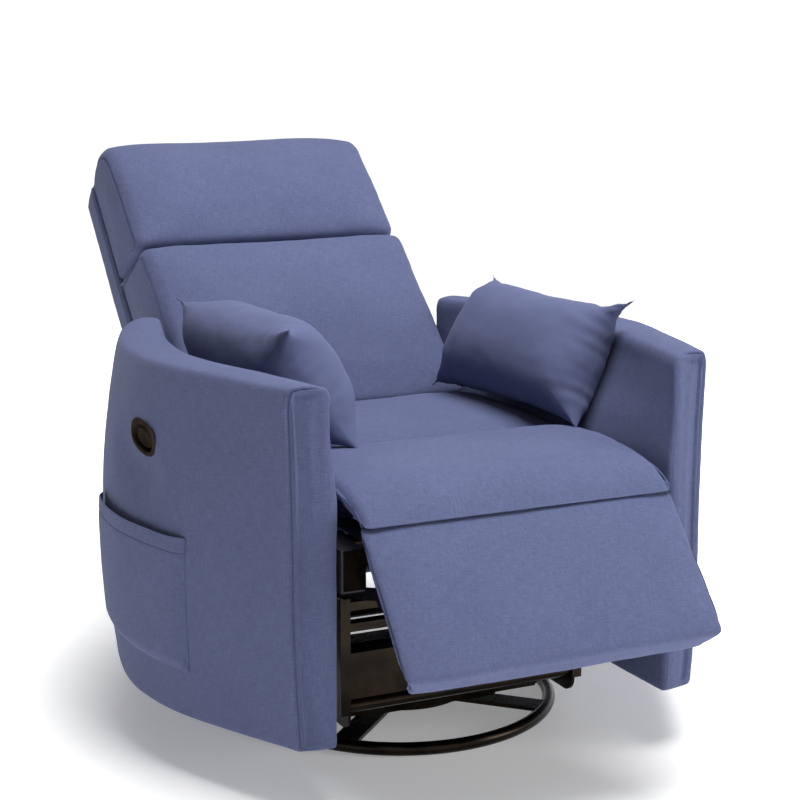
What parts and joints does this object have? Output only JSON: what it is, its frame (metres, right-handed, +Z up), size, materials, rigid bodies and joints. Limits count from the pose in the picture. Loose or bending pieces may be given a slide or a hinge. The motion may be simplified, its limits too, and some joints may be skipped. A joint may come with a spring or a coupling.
{
  "type": "swivel glider recliner",
  "caption": "Barrel-armed recliner on a ring base that swivels and glides, with a reclining two-cushion back, a folding legrest, a side pocket, a release lever and loose pillows.",
  "frame": {"origin": "on the swivel axis at floor level, in the plane of the base ring's flat underside", "axes": "+Z up along the swivel axis; the chair faces -Y; +X to the side without pocket and lever"},
  "size_m": [0.9375, 1.454, 0.8629],
  "materials": {
    "metal": "satin dark bronze paint",
    "bare_steel": "plated steel",
    "bushing": "moulded nylon",
    "wood": "plywood stained black",
    "upholstery": "woven linen-like cloth",
    "pillow_cloth": "brushed cloth",
    "webbing": "elastic webbing",
    "handle_plastic": "dark bronze plastic"
  },
  "bodies": {
    "base": {"base_ring": "metal", "base_cross_bars": "metal", "hub_plate": "metal", "lower_race": "bare_steel", "bearing_balls": "bare_steel", "kingpin": "bare_steel", "kingpin_nut": "bare_steel"},
    "swivel": {"upper_race": "bare_steel", "swivel_plate": "metal", "swivel_beams": "metal", "glider_post_left": "metal", "glider_post_right": "metal", "glide_pins_upper": "bare_steel"},
    "links_front": {"glide_links_front": "metal", "link_bushes_front": "bushing"},
    "links_rear": {"glide_links_rear": "metal", "link_bushes_rear": "bushing"},
    "seat": {"glide_pins_lower": "bare_steel", "carriage_plate_left": "metal", "carriage_plate_right": "metal", "carriage_cross_tubes": "metal", "carriage_cross_bars": "metal", "carriage_panel": "metal", "seat_bolts": "bare_steel", "arm_bolts": "bare_steel", "seat_rail_left": "wood", "seat_rail_right": "wood", "seat_rail_front": "wood", "seat_rail_rear": "wood", "seat_webbing": "webbing", "seat_cushion": "upholstery", "seat_bolster": "upholstery", "rear_panel": "upholstery", "arm_cover_left": "upholstery", "arm_cover_right": "upholstery", "arm_frame_left": "wood", "arm_frame_right": "wood", "side_pocket": "upholstery", "handle_bezel": "handle_plastic", "lever_pin": "bare_steel", "recline_brackets": "metal", "recline_pins": "bare_steel", "legrest_hinges": "metal"},
    "back": {"lumbar_cushion": "upholstery", "headrest_cushion": "upholstery", "back_shell": "upholstery", "back_board": "wood", "back_apron": "upholstery", "back_brackets": "metal", "back_bolts": "bare_steel"},
    "legrest": {"legrest_pad": "upholstery", "legrest_board": "wood", "legrest_brackets": "metal", "legrest_screws": "bare_steel"},
    "legrest_drive": {"drive_tube": "metal", "drive_cranks": "metal"},
    "legrest_link": {"legrest_links": "metal"},
    "lever": {"release_lever": "handle_plastic"},
    "pillow_left": {"pillow_left": "pillow_cloth"},
    "pillow_right": {"pillow_right": "pillow_cloth"}
  },
  "joints": [
    {"name": "swivel", "type": "hinge", "parent": "base", "child": "swivel", "pos_m": [0, 0, 0.031], "axis": [0, 0, 1], "continuous": true},
    {"name": "glide", "type": "hinge", "parent": "swivel", "child": "links_front", "pos_m": [0, -0.12, 0.238], "axis": [1, 0, 0], "range_deg": [-12, 12]},
    {"name": "glide_rear", "type": "hinge", "parent": "swivel", "child": "links_rear", "pos_m": [0, 0.12, 0.238], "axis": [1, 0, 0], "range_deg": [-12, 12]},
    {"name": "carriage_level", "type": "hinge", "parent": "links_front", "child": "seat", "pos_m": [0, -0.12, 0.092], "axis": [1, 0, 0], "range_deg": [-12, 12]},
    {"name": "recline", "type": "hinge", "parent": "seat", "child": "back", "pos_m": [0, 0.3, 0.4], "axis": [-1, 0, 0], "range_deg": [-33, 12]},
    {"name": "legrest", "type": "hinge", "parent": "seat", "child": "legrest", "pos_m": [0, -0.4, 0.4], "axis": [-1, 0, 0], "range_deg": [-41.5, 42]},
    {"name": "legrest_crank", "type": "hinge", "parent": "seat", "child": "legrest_drive", "pos_m": [0, -0.25, 0.36], "axis": [-1, 0, 0], "range_deg": [-41.5, 42]},
    {"name": "legrest_link", "type": "hinge", "parent": "legrest_drive", "child": "legrest_link", "pos_m": [0, -0.26112, 0.28706], "axis": [-1, 0, 0], "range_deg": [-42, 41.5]},
    {"name": "release", "type": "hinge", "parent": "seat", "child": "lever", "pos_m": [-0.43292, -0.03782, 0.5151], "axis": [-0.0743, 0.8798, -0.4695], "range_deg": [0, 35], "stiffness_Nm_per_rad": 0.25, "springref_deg": -2.86},
    {"name": "lift_pillow_left", "type": "slide", "parent": "seat", "child": "pillow_left", "axis": [0, 0, 1], "range_m": [0, 0.3]},
    {"name": "lift_pillow_right", "type": "slide", "parent": "seat", "child": "pillow_right", "axis": [0, 0, 1], "range_m": [0, 0.3]}
  ],
  "couplings": [
    {"joint": "glide_rear", "follows": "glide", "ratio": 1},
    {"joint": "carriage_level", "follows": "glide", "ratio": -1},
    {"joint": "legrest_crank", "follows": "legrest", "ratio": 1},
    {"joint": "legrest_link", "follows": "legrest", "ratio": -1}
  ]
}
